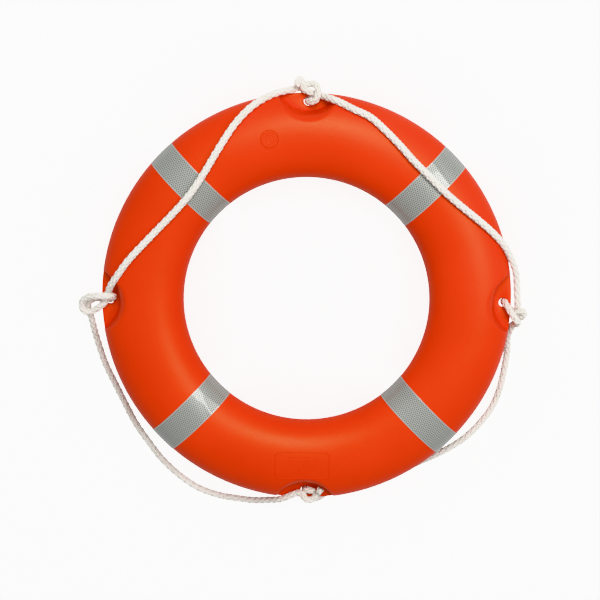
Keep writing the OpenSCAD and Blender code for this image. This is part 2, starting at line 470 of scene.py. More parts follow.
def ring_points(ring, azimuths, turns, grow=0.0):
    """Points of the ring's skin, in metres, for each azimuth and each turn round the section in degrees.
    A turn of 0 is the outer rim and 90 is the crown. grow moves the skin outwards."""
    ring_r, half_w = section_of(ring)
    half_w += grow
    turn = np.radians(turns)[None, :]
    azimuth = np.radians(azimuths)[:, None]
    height = (HALF_H + grow) * np.sin(turn) + 0 * azimuth
    # the mould's parting line leaves a low bead round both rims
    bead = 0.3 * MM * np.exp(-((height / (0.7 * MM)) ** 2)) if grow == 0 else 0
    reach = ring_r + (half_w + bead) * np.cos(turn) + 0 * azimuth
    aside = (azimuth + np.pi / 4) % (np.pi / 2) - np.pi / 4
    wall = recess_reach(ring, np.abs(height), -grow)
    inside = wall**2 - (ring.recess_offset * np.sin(aside)) ** 2
    cut_at = ring.recess_offset * np.cos(aside) - np.sqrt(np.maximum(inside, 0))
    cut_at = np.where((inside > 0) & (np.cos(turn) > 0), cut_at, 1.0)
    soft = 3 * MM    # the edge of a recess is rounded over this length
    near = np.maximum(soft - np.abs(reach - cut_at), 0) / soft
    reach = np.minimum(reach, cut_at) - near**2 * soft / 4
    return np.stack([reach * np.cos(azimuth), reach * np.sin(azimuth), MID_Z + height], axis=-1)


def ring_azimuths(fine, coarse):
    """Azimuths in degrees: a fine step within 17 degrees of each web, and a coarse one elsewhere."""
    reach = 17
    near = np.linspace(-reach, reach, round(2 * reach / fine) + 1)
    far = np.linspace(reach, 90 - reach, round((90 - 2 * reach) / coarse) + 1)[1:-1]
    return np.concatenate([side + np.concatenate([near, far]) for side in SIDES])


def section_turns():
    """Turns round the section in degrees, closer together at the recess lips and the parting line."""
    bead = [0.6, 1.2, 2.0]
    outer = bead + [5, 9, 13, 17, 21, 25, 29, 33] + list(np.arange(36, 82, 2.2)) + [84, 87]
    inner = list(np.arange(90, 176, 4.6)) + [180 - b for b in reversed(bead)]
    half = outer + inner
    return np.array([0] + half + [180] + [360 - t for t in reversed(half)])


def ring_body(ring):
    """The ring's outer skin with its recesses."""
    skin = ring_points(ring, ring_azimuths(0.4, 1.3), section_turns())
    return object_from("shell", skin.reshape(-1, 3), grid_faces(*skin.shape[:2]))


def ring_cavity(ring):
    """The inner face of the moulded wall, which the foam fills: a closed skin that faces inwards."""
    skin = ring_points(ring, ring_azimuths(1.4, 4.0), np.arange(0, 360, 7.5), grow=-ring.wall)
    faces = [tuple(reversed(f)) for f in grid_faces(*skin.shape[:2])]
    return object_from("cavity", skin.reshape(-1, 3), faces)


def web_plate(ring, side):
    """One web: a plate that fills the recess at mid height, with a rounded outer edge and a rope hole."""
    rays = np.radians(np.arange(0, 360, 2.0))
    heading = np.stack([np.cos(rays), np.sin(rays)], axis=-1)
    hole = np.array([ring.hole_at, 0.0])

    def to_circle(centre, radius):
        across = hole - centre
        b = heading @ across
        return -b + np.sqrt(b**2 - across @ across + radius**2)

    into_wall = to_circle(np.array([ring.recess_offset, 0.0]), ring.recess_r + 1.5 * MM)
    to_rim = to_circle(np.zeros(2), OUTER_R - 0.1 * MM)
    reach = np.minimum(into_wall, to_rim)
    half = ring.web_t / 2
    # both edges are round: millimetres from the edge, and height as a part of half the thickness
    edge = [(2.4, 1.0), (1.1, 0.9), (0.35, 0.62), (0.0, 0.25)]
    lip = [(0.0, 0.6), (0.25, 0.85), (0.9, 1.0)]
    top = [(ring.hole_r + out * MM, half * up) for out, up in lip]
    outline = [(reach - back * MM, half * up) for back, up in edge]
    loop = top + [((reach + ring.hole_r) / 2, half)] + outline
    loop = loop + [(out, -up) for out, up in reversed(loop)]
    vertices = []
    turn = Matrix.Rotation(math.radians(side), 3, "Z")
    for out, up in loop:
        flat = hole + heading * (out * np.ones(len(rays)))[:, None]
        vertices += [turn @ Vector((p[0], p[1], MID_Z + up)) for p in flat]
    faces = grid_faces(len(loop), len(rays))
    return object_from(f"web_{side}", vertices, faces)


def lathe(name, profile, centre, segments=96, materials=()):
    """A closed turned piece about a vertical axis. The profile's points are radius and height."""
    vertices, faces = [], []
    angles = np.radians(np.arange(segments) * 360 / segments)
    rings = []
    for radius, height in profile:
        if radius == 0:
            rings.append([len(vertices)])
            vertices.append((centre[0], centre[1], centre[2] + height))
        else:
            rings.append(list(range(len(vertices), len(vertices) + segments)))
            vertices += [
                (centre[0] + radius * math.cos(a), centre[1] + radius * math.sin(a), centre[2] + height)
                for a in angles
            ]
    for below, above in zip(rings, rings[1:]):
        for i in range(segments):
            k = (i + 1) % segments
            if len(below) == 1:
                faces.append((below[0], above[k], above[i]))
            elif len(above) == 1:
                faces.append((below[i], below[k], above[0]))
            else:
                faces.append((below[i], below[k], above[k], above[i]))
    return object_from(name, vertices, faces, materials)


def plug_place(ring, plug):
    """The middle of the plug's face."""
    angle = math.radians(plug.angle)
    ring_r, _ = section_of(ring)
    return (ring_r * math.cos(angle), ring_r * math.sin(angle), MID_Z + HALF_H - plug.sink)


def raised_bead(name, ring, path, half_width, rise, closed):
    """A low moulded bead that follows a path of x and y over the ring's upper face."""
    ring_r, half_w = section_of(ring)
    flat = np.array(path)
    away = np.linalg.norm(flat, axis=1)
    height = HALF_H * np.sqrt(1 - ((away - ring_r) / half_w) ** 2)
    points = np.column_stack([flat, MID_Z + height])
    slope = (away - ring_r) / half_w**2
    normal = np.column_stack([flat / away[:, None] * slope[:, None], height / HALF_H**2])
    normal /= np.linalg.norm(normal, axis=1)[:, None]
    ahead = np.roll(points, -1, axis=0) - np.roll(points, 1, axis=0)
    taper = np.ones(len(points))
    if not closed:
        ahead[0], ahead[-1] = points[1] - points[0], points[-1] - points[-2]
        taper[[0, -1]] = 0.15
        taper[[1, -2]] = 0.75
    side = np.cross(ahead, normal)
    side /= np.linalg.norm(side, axis=1)[:, None]
    rounded = [(0.85, 0.25), (0.5, 0.85)]
    # the bead's outline, across and up, with its foot sunk into the skin
    outline = [(-1, -0.8)] + [(-x, y) for x, y in rounded] + [(0, 1.0)]
    outline += rounded[::-1] + [(1, -0.8), (0, -1.6)]
    vertices = [
        p + s * (across * half_width * k) + n * (up * rise * (k if up > 0 else 1))
        for p, s, n, k in zip(points, side, normal, taper)
        for across, up in outline
    ]
    count = len(outline)
    faces = [tuple(reversed(f)) for f in grid_faces(len(points), count, close_rows=closed)]
    if not closed:
        last = (len(points) - 1) * count
        faces += [tuple(range(count)), tuple(last + i for i in reversed(range(count)))]
    return object_from(name, vertices, faces)


def rounded_rectangle(middle, width, depth, radius, steps=6):
    """Points of a rectangle with round corners, counter-clockwise."""
    points = []
    for k, (sx, sy) in enumerate([(1, 1), (-1, 1), (-1, -1), (1, -1)]):
        corner = np.array(middle) + [sx * (width / 2 - radius), sy * (depth / 2 - radius)]
        for i in range(steps + 1):
            a = math.radians(90 * (k + i / steps))
            points.append(corner + radius * np.array([math.cos(a), math.sin(a)]))
    dense, spacing = [], 3 * MM
    for a, b in zip(points, points[1:] + points[:1]):
        count = max(1, round(np.linalg.norm(b - a) / spacing))
        dense += [a + (b - a) * i / count for i in range(count)]
    return dense


def marking_panel(ring):
    """The low-relief panel on the lower face: a thin frame round rows of blank dashes."""
    middle = np.array([-5, -298.5]) * MM
    frame_path = rounded_rectangle(middle, 99 * MM, 50 * MM, 8 * MM)
    pieces = [raised_bead("panel_frame", ring, frame_path, 1.1 * MM, 0.9 * MM, closed=True)]
    # each row is its distance from the panel's middle and where its dashes stand, in millimetres
    rows = [
        (16, [-23, -17, -9, -3, 3, 9]),
        (10, [-23, -12, -6, 0, 6, 12, 23]),
        (4, [-24, -17, -11, 0, 6, 12, 22]),
        (-2, [-18, -12, -6, 2, 8, 14]),
        (-8, [-12, -6, 4, 10, 16]),
        (-14, [-15, -7, -1, 5, 12]),
    ]
    dash_length = 4.6
    for up, dashes in rows:
        for start in dashes:
            path = [middle + np.array([x, up]) * MM for x in np.linspace(start, start + dash_length, 5)]
            pieces.append(raised_bead("dash", ring, path, 1.2 * MM, 0.8 * MM, closed=False))
    return pieces


class LIFEBUOY_OT_ring(bpy.types.Operator):
    """Build the moulded ring with its recesses, webs, rope holes and marking panel"""

    bl_idname = "lifebuoy.ring"
    bl_label = "Moulded Ring"

    def execute(self, context):
        ring, plug = context.scene.lifebuoy_ring, context.scene.lifebuoy_plug
        body = ring_body(ring)
        cut(body, join([web_plate(ring, side) for side in SIDES], "webs"), "UNION")
        face = plug_place(ring, plug)
        seat_r = plug.radius + 0.3 * MM
        seat = [(0, -9 * MM), (plug.stem_r + 0.2 * MM, -9 * MM), (plug.stem_r + 0.2 * MM, -2.5 * MM)]
        seat += [(seat_r, -2.5 * MM), (seat_r, 0.6 * MM), (seat_r + 1.2 * MM, 4 * MM), (0, 4 * MM)]
        cut(body, lathe("plug_seat", seat, face), "DIFFERENCE")
        shell = join([body, ring_cavity(ring)] + marking_panel(ring), "shell_moulding")
        shell.data.materials.clear()
        shell.data.materials.append(rotomoulded_polyethylene("rotomoulded_polyethylene", ring.colour))
        keep_sharp(shell, 35)
        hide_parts("shell")
        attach(shell, "root")
        return {"FINISHED"}


class LIFEBUOY_OT_filler_plug(bpy.types.Operator):
    """Turn the plug that closes the foam's filling hole"""

    bl_idname = "lifebuoy.filler_plug"
    bl_label = "Filler Plug"

    def execute(self, context):
        ring, plug = context.scene.lifebuoy_ring, context.scene.lifebuoy_plug
        radius, stem = plug.radius, plug.stem_r
        profile = [(0, -8 * MM), (stem - 0.6 * MM, -8 * MM), (stem, -7.2 * MM), (stem, -2.4 * MM)]
        profile += [(radius - 0.3 * MM, -2.4 * MM), (radius, -2.1 * MM), (radius, -0.5 * MM)]
        profile += [(radius - 0.4 * MM, -0.05 * MM)]
        for middle in (12.2 * MM, 8.2 * MM, 4.2 * MM):
            profile += [
                (middle + 1.1 * MM, 0.0),
                (middle + 0.7 * MM, 0.6 * MM),
                (middle, 0.8 * MM),
                (middle - 0.7 * MM, 0.6 * MM),
                (middle - 1.1 * MM, 0.0),
            ]
        profile += [(0, 0.0)]
        material = rotomoulded_polyethylene("injection_moulded_polyethylene", ring.colour)
        disc = lathe("filler_plug_disc", profile, plug_place(ring, plug), materials=[material])
        keep_sharp(disc, 35)
        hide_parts("filler_plug")
        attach(disc, "root")
        return {"FINISHED"}


class LIFEBUOY_OT_foam(bpy.types.Operator):
    """Give the poured foam core its finish"""

    bl_idname = "lifebuoy.foam"
    bl_label = "Foam Core"

    def execute(self, context):
        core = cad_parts["foam_core"]
        core.data.materials.clear()
        core.data.materials.append(poured_foam("poured_polyurethane_foam"))
        return {"FINISHED"}


# ---------------------------------------------------------------- tapes


# Where the stiff film bridges flat over the curved ring: the middle and half width of each flat, in degrees
# round the section, at the tape's two edges.
FLATS = {
    "upper_right": [((75, 7), (72, 10)), ((168, 6), (163, 1)), ((20, 5), (24, 2))],
    "upper_left": [((158, 1), (164, 6)), ((30, 4), (26, 1))],
    "lower_left": [((130, 0.5), (125, 9.5)), ((172, 5), (166, 1)), ((22, 1), (18, 5))],
    "lower_right": [((160, 5), (166, 1)), ((34, 1), (30, 4))],
}
LEAST_FLAT = 0.8        # half width in degrees below which the film follows the ring
FLAT_FADE = 0.6         # how far the film takes to lie down again, as a part of the half width
BEND_R = 62 * MM        # mean radius of the section, over which a flat stands off


def flat_lift(turn, aside, flats):
    """How far the film stands off the ring at a turn in degrees, where it bridges in flats."""
    lift = 0.0
    for (turn_a, half_a), (turn_b, half_b) in flats:
        middle = turn_a + (turn_b - turn_a) * aside
        half = half_a + (half_b - half_a) * aside
        away = abs((turn - middle + 180) % 360 - 180)
        if half > LEAST_FLAT and away < half * (1 + FLAT_FADE):
            rise = BEND_R * (1 / math.cos(math.radians(min(away, half))) - 1)
            fade = max(away - half, 0) / (half * FLAT_FADE)
            lift = max(lift, rise * (1 - fade) ** 2 * (1 + 2 * fade))
    return lift


def tape_band(name, ring, tape, angle, flats, material):
    """One tape: a thin strip that wraps the section once and laps over its own start."""
    ring_r, half_w = section_of(ring)
    first, steps = 196, 320    # the tape starts under the inner rim
    turns = np.linspace(first, first + 360 + tape.overlap, steps)
    half = tape.width / 2
    edges = [0.0, 0.12 * MM, 0.35 * MM, 0.8 * MM]
    across = [-half + e for e in edges] + list(np.linspace(-half + 6 * MM, half - 6 * MM, 7))
    across += [half - e for e in reversed(edges)]
    across = np.array(across)
    drop = np.interp(half - np.abs(across), edges[:3], [0.55, 0.15, 0.0])
    # the free end climbs over the start, which thins out under it
    lap = np.clip((turns - first - 360 + 3) / 3, 0, 1)
    start_lap = 0.6 * np.clip((first + 1.0 - turns) / 1.0, 0, 1)
    rows = []
    for turn, over, low in zip(turns, lap, start_lap):
        a = math.radians(turn)
        lift = tape.lift * (1 + 0.9 * over - low - drop)
        lift = lift + [flat_lift(turn, w / tape.width + 0.5, flats) for w in across]
        rows.append([(a, w, h) for w, h in zip(across, lift)] + [(a, w, -0.25 * MM) for w in across[::-1]])
    vertices = []
    facing = Matrix.Rotation(math.radians(angle), 3, "Z")
    for row in rows:
        for a, w, h in row:
            normal = Vector((math.cos(a) / half_w, 0, math.sin(a) / HALF_H)).normalized()
            reach = ring_r + half_w * math.cos(a) + normal.x * h
            height = HALF_H * math.sin(a) + normal.z * h
            vertices.append(facing @ Vector((math.sqrt(reach**2 - w**2), w, MID_Z + height)))
    columns = 2 * len(across)
    faces = grid_faces(len(rows), columns, close_rows=False)
    last = (len(rows) - 1) * columns
    faces += [tuple(reversed(range(columns))), tuple(last + i for i in range(columns))]
    band = object_from(name, vertices, faces, [material])
    # the pattern is laid out in metres along and across the strip
    angles = np.radians(turns)
    steps = np.hypot(half_w * np.diff(np.cos(angles)), HALF_H * np.diff(np.sin(angles)))
    alongs = np.concatenate([[0], np.cumsum(steps)])
    places = [(along, w) for along in alongs for w in [*across, *across[::-1]]]
    layer = band.data.uv_layers.new(name="tape")
    for loop in band.data.loops:
        layer.data[loop.index].uv = places[loop.vertex_index]
    keep_sharp(band, 40)
    return band


class LIFEBUOY_OT_tapes(bpy.types.Operator):
    """Wrap the four reflective tapes round the ring"""

    bl_idname = "lifebuoy.tapes"
    bl_label = "Reflective Tapes"

    def execute(self, context):
        ring, tape = context.scene.lifebuoy_ring, context.scene.lifebuoy_tape
        film = retroreflective_film("retroreflective_film", tape.colour, tape.seal, tape.cell, tape.width)
        for place, angle in TAPES.items():
            band = tape_band(f"reflective_band_{place}", ring, tape, angle, FLATS[place], film)
            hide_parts(f"tape_{place}")
            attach(band, "root")
        return {"FINISHED"}


# ---------------------------------------------------------------- grab line

# Points that each stretch of the line passes, in millimetres. They are the design's own, apart from the
# first two of LOWER_RIGHT, which lie 4 to 5 mm nearer the ring, where the line leaves its drawn-up hitch.
UPPER_LEFT = [
    (-27, 380, 60), (-56, 373, 70), (-86, 358, 84), (-109, 339, 96), (-129, 316, 104), (-145, 292, 109),
    (-161, 266, 112), (-179, 236, 112), (-206, 196, 111), (-233, 165, 111), (-262, 135, 112),
    (-291, 105, 112), (-318, 76, 108), (-338, 49, 102), (-351, 31, 90), (-359, 16, 75),
]
UPPER_RIGHT = [
    (23, 369, 61), (51, 359, 88), (80, 345, 96), (108, 332, 100), (136, 308, 105), (162, 282, 109),
    (185, 257, 111), (213, 230, 112), (240, 204, 112), (270, 179, 110), (301, 155, 106), (330, 131, 96),
    (354, 106, 83), (371, 78, 71), (380, 55, 64), (384, 26, 58), (387, -4, 55),
]
LOWER_LEFT = [
    (-398, -34, 44), (-396, -62, 26), (-391, -96, 9), (-380, -132, 7), (-362, -171, 7), (-345, -207, 7),
    (-325, -247, 7), (-301, -283, 7), (-275, -318, 7), (-243, -349, 7), (-207, -374, 7), (-167, -389, 7),
    (-130, -395, 8), (-97, -396, 16), (-69, -389, 33), (-45, -380, 53), (-22, -367, 63),
]
LOWER_RIGHT = [
    (380, -48, 43), (377, -66, 26), (380, -98, 9), (376, -136, 7), (368, -176, 7), (354, -212, 7),
    (332, -243, 7), (307, -269, 7), (279, -289, 7), (252, -304, 7), (222, -318, 7), (188, -332, 7),
    (150, -346, 7), (112, -358, 8), (74, -368, 16), (44, -372, 31), (22, -380, 46),
]
# The hitches. The left rope starts under the top web, comes up through its hole and over itself; the
# right rope starts at its cut end, and crosses under the left one.
TOP_TURN = [
    (-9, 381, 41), (-4, 373, 39), (-1, 364, 42), (0, 360, 50), (1, 359, 60), (7, 358, 69), (14, 363, 73),
    (17, 371, 74), (17, 380, 71), (12, 388, 64), (4, 390, 58), (-5, 388, 56), (-16, 384, 57),
]
TOP_END = [(-19, 386, 73), (-19, 393, 75), (-14, 397, 73), (-10, 390, 70)]
TOP_CROSSING = [(-8, 381, 67), (-1, 377, 65), (7, 373, 63), (15, 370, 61)]
LEFT_HITCH = [
    (-362, 8, 67), (-366, -2, 63), (-374, -10, 62), (-385, -18, 59), (-397, -24, 58), (-407, -22, 58),
    (-411, -13, 60), (-409, -3, 64), (-401, 4, 69), (-390, 8, 74), (-377, 9, 78), (-364, 9, 79),
    (-355, 9, 76), (-351, 7, 69), (-355, 3, 60), (-359, 0, 51), (-363, -1, 43), (-371, -1, 38),
    (-382, -1, 37), (-393, -2, 39), (-401, -7, 42), (-403, -15, 44), (-401, -25, 45),
]
RIGHT_HITCH = [
    (387, -12, 54), (389, -22, 55), (394, -27, 56), (398, -22, 60), (396, -16, 64), (390, -13, 66),
    (384, -17, 62), (382, -19, 52), (376, -14, 42), (368, -6, 38), (363, 0, 43), (363, 1, 52),
    (365, -4, 62), (370, -12, 69), (376, -21, 72), (382, -30, 71), (387, -36, 65), (386, -40, 57),
    (381, -41, 50),
]
BOTTOM_TURN = [
    (-12, -363, 66), (-4, -365, 70), (-1, -370, 72), (4, -374, 72), (12, -374, 72), (18, -370, 73),
    (22, -364, 74),
]
BOTTOM_END = [(26, -358, 74), (30, -352, 74)]
BOTTOM_TUCK = [
    (14, -378, 41), (5, -370, 40), (0, -362, 44), (0, -360, 53), (1, -359, 61), (7, -358, 65),
    (14, -359, 65), (20, -363, 63),
]
# Each rope is its runs in order: the piece's name, the CAD node that it stands for, and its points.
LEFT_ROPE = [
    ("hitch_top_left_rope", "knot_top", TOP_TURN),
    ("line_upper_left", "grab_line_upper_left", UPPER_LEFT),
    ("hitch_left", "knot_left", LEFT_HITCH),
    ("line_lower_left", "grab_line_lower_left", LOWER_LEFT),
    ("hitch_bottom_left_rope", "knot_bottom", BOTTOM_TURN),
    ("cut_end_bottom", "rope_end_bottom", BOTTOM_END),
]
RIGHT_ROPE = [
    ("cut_end_top", "rope_end_top", TOP_END),
    ("hitch_top_right_rope", "knot_top", TOP_CROSSING),
    ("line_upper_right", "grab_line_upper_right", UPPER_RIGHT),
    ("hitch_right", "knot_right", RIGHT_HITCH),
    ("line_lower_right", "grab_line_lower_right", LOWER_RIGHT),
    ("hitch_bottom_right_rope", "knot_bottom", BOTTOM_TUCK),
]
LINE_STEP = 1.3 * MM    # spacing of the rings along a strand


def smooth_line(points, step=2.0 * MM):
    """A centripetal Catmull-Rom line through points, with the distance along it at each given point."""
    p = np.array(points, float) * MM
    p = np.vstack([2 * p[0] - p[1], p, 2 * p[-1] - p[-2]])
    line, marks, gone = [p[1]], [0.0], 0.0
    for i in range(1, len(p) - 2):
        knots = [0.0]
        for a, b in zip(p[i - 1:i + 2], p[i:i + 3]):
            knots.append(knots[-1] + np.linalg.norm(b - a) ** 0.5)
        t0, t1, t2, t3 = knots
        count = max(2, math.ceil(np.linalg.norm(p[i + 1] - p[i]) / step))
        for t in np.linspace(t1, t2, count + 1)[1:]:
            a1 = (t1 - t) / (t1 - t0) * p[i - 1] + (t - t0) / (t1 - t0) * p[i]
            a2 = (t2 - t) / (t2 - t1) * p[i] + (t - t1) / (t2 - t1) * p[i + 1]
            a3 = (t3 - t) / (t3 - t2) * p[i + 1] + (t - t2) / (t3 - t2) * p[i + 2]
            b1 = (t2 - t) / (t2 - t0) * a1 + (t - t0) / (t2 - t0) * a2
            b2 = (t3 - t) / (t3 - t1) * a2 + (t - t1) / (t3 - t1) * a3
            point = (t2 - t) / (t2 - t1) * b1 + (t - t1) / (t2 - t1) * b2
            gone += np.linalg.norm(point - line[-1])
            line.append(point)
        marks.append(gone)
    return np.array(line), marks


def braid_tree(material, rope):
    """Geometry Nodes that braid strands round a curve, and keep the part between two distances along it."""
    tree = bpy.data.node_groups.new("braided_rope", "GeometryNodeTree")
    tree.interface.new_socket("Geometry", in_out="INPUT", socket_type="NodeSocketGeometry")
    settings = {
        "Pitch": rope.pitch,
        "Braid Radius": rope.braid_r,
        "Weave": rope.weave,
        "Strand Width": rope.strand_w,
        "Strand Thickness": rope.strand_t,
        "Step": LINE_STEP,
        "From": 0.0,
        "To": 1.0,
        "Strands": rope.strands,
        "Sides": 10,
    }
    for name, value in settings.items():
        kind = "NodeSocketInt" if isinstance(value, int) else "NodeSocketFloat"
        tree.interface.new_socket(name, in_out="INPUT", socket_type=kind).default_value = value
    tree.interface.new_socket("Geometry", in_out="OUTPUT", socket_type="NodeSocketGeometry")
    given = add_node(tree, "NodeGroupInput").outputs

    spaced = {"Curve": given["Geometry"], "Length": given["Step"]}
    even = add_node(tree, "GeometryNodeResampleCurve", spaced, mode="LENGTH")
    steady = add_node(
        tree, "GeometryNodeSetCurveNormal", {"Curve": even.outputs["Curve"]}, mode="MINIMUM_TWIST"
    )
    kept = add_node(
        tree, "GeometryNodeCaptureAttribute", {"Geometry": steady.outputs["Curve"]}, domain="POINT"
    )
    fields = {
        "along": ("FLOAT", add_node(tree, "GeometryNodeSplineParameter").outputs["Length"]),
        "tangent": ("VECTOR", add_node(tree, "GeometryNodeInputTangent").outputs["Tangent"]),
        "normal": ("VECTOR", add_node(tree, "GeometryNodeInputNormal").outputs["Normal"]),
    }
    for name, (kind, field) in fields.items():
        kept.capture_items.new(kind, name)
        tree.links.new(field, kept.inputs[name])
    along, tangent, normal = (kept.outputs[name] for name in fields)
    before = operate(tree, MATHS, "LESS_THAN", along, given["From"])
    after = operate(tree, MATHS, "GREATER_THAN", along, given["To"])
    outside = operate(tree, MATHS, "MAXIMUM", before, after)
    trimmed = add_node(
        tree,
        "GeometryNodeDeleteGeometry",
        {"Geometry": kept.outputs["Geometry"], "Selection": outside},
        domain="POINT",
    )
    copies = add_node(
        tree,
        "GeometryNodeDuplicateElements",
        {"Geometry": trimmed.outputs["Geometry"], "Amount": given["Strands"]},
        domain="SPLINE",
    )
    index = copies.outputs["Duplicate Index"]
    # half the strands turn left and half turn right, each over one crossing and under the next
    odd = operate(tree, MATHS, "MODULO", index, 2.0)
    hand = operate(tree, MATHS, "MULTIPLY_ADD", odd, -2.0, 1.0)
    pairs = operate(tree, MATHS, "MULTIPLY", given["Strands"], 0.5)
    circled = operate(tree, MATHS, "MULTIPLY", along, 2 * math.pi)
    turned = operate(tree, MATHS, "DIVIDE", circled, given["Pitch"])
    pair = operate(tree, MATHS, "FLOOR", operate(tree, MATHS, "MULTIPLY", index, 0.5))
    start = operate(tree, MATHS, "DIVIDE", operate(tree, MATHS, "MULTIPLY", pair, 2 * math.pi), pairs)
    angle = operate(tree, MATHS, "MULTIPLY_ADD", turned, hand, start)
    crossing = operate(tree, MATHS, "COSINE", operate(tree, MATHS, "MULTIPLY", turned, pairs))
    rise = operate(tree, MATHS, "MULTIPLY", crossing, hand)
    away = operate(tree, MATHS, "MULTIPLY_ADD", rise, given["Weave"], given["Braid Radius"])
    sideways = operate(tree, VECTORS, "CROSS_PRODUCT", tangent, normal)
    outward = operate(
        tree,
        VECTORS,
        "ADD",
        operate(tree, VECTORS, "SCALE", normal, Scale=operate(tree, MATHS, "COSINE", angle)),
        operate(tree, VECTORS, "SCALE", sideways, Scale=operate(tree, MATHS, "SINE", angle)),
    )
    offset = operate(tree, VECTORS, "SCALE", outward, Scale=away)
    moved = add_node(
        tree, "GeometryNodeSetPosition", {"Geometry": copies.outputs["Geometry"], "Offset": offset}
    )
    turned_out = {"Curve": moved.outputs["Geometry"], "Normal": outward}
    facing = add_node(tree, "GeometryNodeSetCurveNormal", turned_out, mode="FREE")
    marked = add_node(
        tree,
        "GeometryNodeStoreNamedAttribute",
        {"Geometry": facing.outputs["Curve"], "Name": "along", "Value": along},
        data_type="FLOAT",
        domain="POINT",
    )
    circle = add_node(
        tree, "GeometryNodeCurvePrimitiveCircle", {"Resolution": given["Sides"], "Radius": 1.0}
    )
    rounds = add_node(
        tree,
        "GeometryNodeStoreNamedAttribute",
        {
            "Geometry": circle.outputs["Curve"],
            "Name": "around",
            "Value": add_node(tree, "GeometryNodeSplineParameter").outputs["Factor"],
        },
        data_type="FLOAT",
        domain="POINT",
    )
    # the yarns' seam faces the middle of the rope, so the profile is turned half round
    squeeze = {
        "X": operate(tree, MATHS, "MULTIPLY", given["Strand Thickness"], -0.5),
        "Y": operate(tree, MATHS, "MULTIPLY", given["Strand Width"], -0.5),
    }
    scale = add_node(tree, "ShaderNodeCombineXYZ", squeeze).outputs["Vector"]
    profile = add_node(
        tree, "GeometryNodeTransform", {"Geometry": rounds.outputs["Geometry"], "Scale": scale}
    )
    # a plain core under the strands closes the gaps between them
    core_r = operate(tree, MATHS, "MULTIPLY_ADD", given["Weave"], -1.4, given["Braid Radius"])
    core_profile = add_node(tree, "GeometryNodeCurvePrimitiveCircle", {"Resolution": 8, "Radius": core_r})
    strands, core = (
        add_node(
            tree, "GeometryNodeCurveToMesh", {"Curve": curve, "Profile Curve": outline, "Fill Caps": True}
        )
        for curve, outline in (
            (marked.outputs["Geometry"], profile.outputs["Geometry"]),
            (trimmed.outputs["Geometry"], core_profile.outputs["Curve"]),
        )
    )
    both = add_node(tree, "GeometryNodeJoinGeometry", {"Geometry": strands.outputs["Mesh"]})
    tree.links.new(core.outputs["Mesh"], both.inputs["Geometry"])
    smooth = add_node(tree, "GeometryNodeSetShadeSmooth", {"Geometry": both.outputs["Geometry"]})
    real = add_node(tree, "GeometryNodeRealizeInstances", {"Geometry": smooth.outputs["Geometry"]})
    painted = add_node(
        tree, "GeometryNodeSetMaterial", {"Geometry": real.outputs["Geometry"], "Material": material}
    )
    add_node(tree, "NodeGroupOutput", {"Geometry": painted.outputs["Geometry"]})
    return tree


def braid(name, line, start, end, tree):
    """One run of braided rope: the part of a line between two distances along it."""
    curve = bpy.data.curves.new(name, "CURVE")
    curve.dimensions = "3D"
    spline = curve.splines.new("POLY")
    spline.points.add(len(line) - 1)
    spline.points.foreach_set("co", np.column_stack([line, np.ones(len(line))]).ravel())
    thing = bpy.data.objects.new(name, curve)
    bpy.context.scene.collection.objects.link(thing)
    modifier = thing.modifiers.new("braid", "NODES")
    modifier.node_group = tree
    for socket, distance in (("From", start), ("To", end)):
        modifier[tree.interface.items_tree[socket].identifier] = distance
    return settle(thing)


def sealed_tip(name, at, heading, radius, material):
    """The melted cap of a cut end: a shallow lumpy dome."""
    # each point is its distance out, as a part of the rope's radius, and its height in millimetres
    collar = [(0, -3.0), (0.86, -3.0), (0.93, -1.5), (0.97, -0.3)]
    dome = [(0.92, 0.5), (0.72, 1.0), (0.4, 1.3), (0, 1.4)]
    steps = [(out * radius, up * MM) for out, up in collar + dome]
    tip = lathe(name, steps, (0, 0, 0), segments=24, materials=[material])
    turn = Vector(heading).to_track_quat("Z", "Y").to_matrix().to_4x4()
    for vertex in tip.data.vertices:
        swell = 1 + 0.06 * math.sin(5 * math.atan2(vertex.co.y, vertex.co.x) + 900 * vertex.co.z)
        vertex.co.x *= swell
        vertex.co.y *= swell
    tip.data.transform(Matrix.Translation(Vector(at)) @ turn)
    return tip


class LIFEBUOY_OT_grab_line(bpy.types.Operator):
    """Braid the two ropes of the grab line, with their hitches and cut ends"""

    bl_idname = "lifebuoy.grab_line"
    bl_label = "Grab Line"

    def execute(self, context):
        rope = context.scene.lifebuoy_rope
        yarn = braided_polypropylene("braided_polypropylene", rope.colour, rope.shade)
        melted = melted_polypropylene("melted_polypropylene")
        tree = braid_tree(yarn, rope)
        for runs in (LEFT_ROPE, RIGHT_ROPE):
            line, marks = smooth_line([p for _, _, run in runs for p in run])
            gone = np.concatenate([[0], np.cumsum(np.linalg.norm(np.diff(line, axis=0), axis=1))])
            pieces, spans, first = {}, {}, 0
            for name, _, run in runs:
                start = marks[first] if first else 0.0
                last = first + len(run)
                end = marks[last] if last < len(marks) else gone[-1]
                # a stretch of line begins and ends on its own points, and the hitches take up the rest
                if name.startswith("line_"):
                    end = marks[last - 1]
                elif first and not follows_cut_end(runs, name):
                    start = marks[first - 1]
                pieces[name] = braid(name, line, start - LINE_STEP / 2, end + LINE_STEP / 2, tree)
                spans[name] = (start, end)
                first = last
            add_tips(runs, pieces, line, rope, melted)
            for name, node, _ in runs:
                piece = pieces[name]
                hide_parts(node)
                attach(piece, "root")
            names = list(pieces)
            for i, name in enumerate(names):
                if not name.startswith("line_"):
                    continue
                start, end = spans[name]
        return {"FINISHED"}


def follows_cut_end(runs, name):
    """Whether the run before this one is a cut end, with which it shares a face."""
    names = [n for n, _, _ in runs]
    i = names.index(name)
    return i > 0 and names[i - 1].startswith("cut_end")


